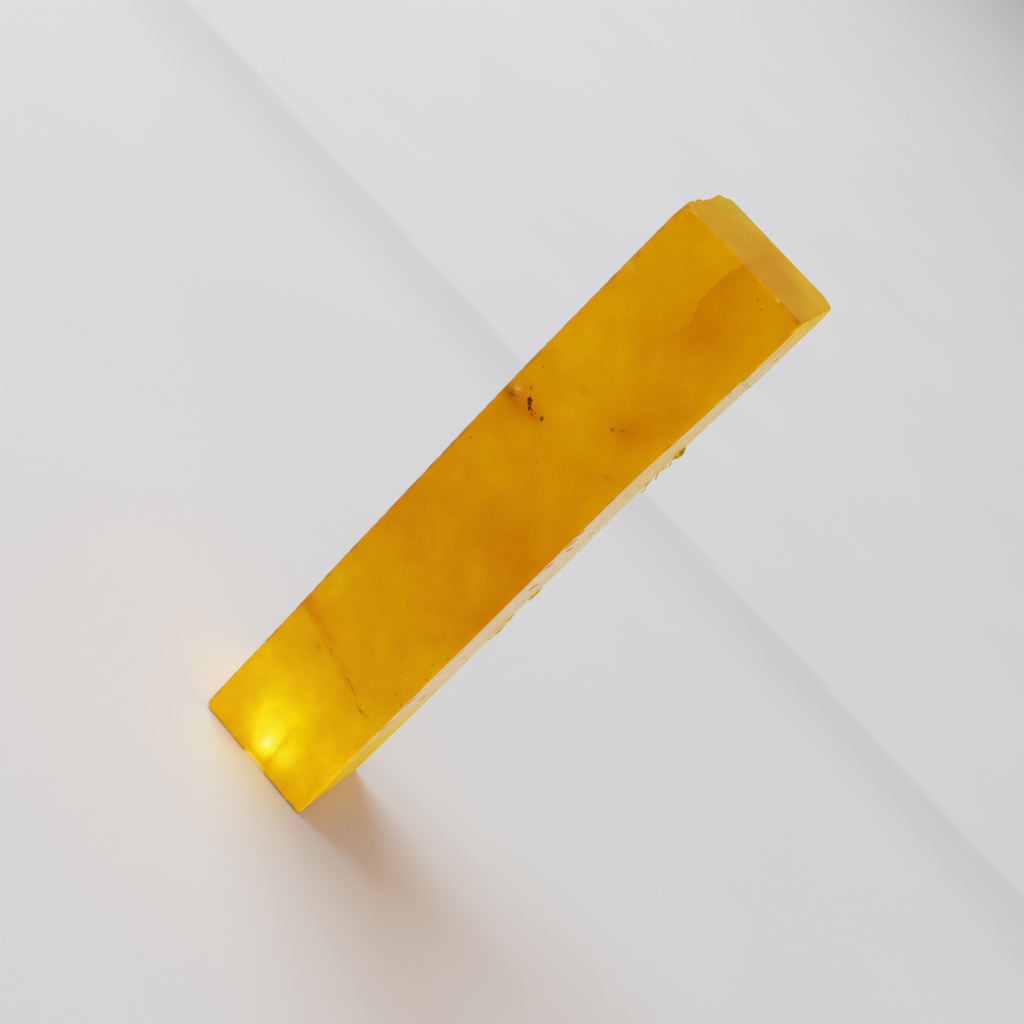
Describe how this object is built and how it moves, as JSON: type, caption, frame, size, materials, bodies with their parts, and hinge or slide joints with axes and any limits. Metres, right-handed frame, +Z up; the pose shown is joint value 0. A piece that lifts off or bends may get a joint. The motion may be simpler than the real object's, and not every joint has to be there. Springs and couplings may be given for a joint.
{
  "type": "clay bar",
  "caption": "Sawn rectangular bar of translucent honey-yellow material standing on end, with a stained crack, dark grains, chipped arrises and small burrs.",
  "frame": {"origin": "middle of the base that the bar stands on", "axes": "+Z up along the bar, -Y out of the front face with the grains, +X to the right of someone facing the front"},
  "size_m": [0.0208, 0.0178, 0.1],
  "materials": {
    "honey_body": "satin",
    "bright_honey_body": "satin",
    "crack_stain": "matte",
    "veil": "satin",
    "fissure": "satin",
    "dark_mineral": "satin",
    "pale_mineral": "matte",
    "brown_mineral": "matte",
    "red_brown_mineral": "matte",
    "black_mineral": "matte",
    "thin_flake": "gloss"
  },
  "bodies": {
    "root": {"main_block": "honey_body", "foot_block": "bright_honey_body", "crack_film": "crack_stain", "top_veil": "veil", "base_fissure": "fissure", "dark_grains": "dark_mineral", "pale_grains": "pale_mineral", "faint_grains": "brown_mineral", "crack_grains": "red_brown_mineral", "pepper_specks": "black_mineral", "edge_flakes": "thin_flake"}
  },
  "joints": []
}
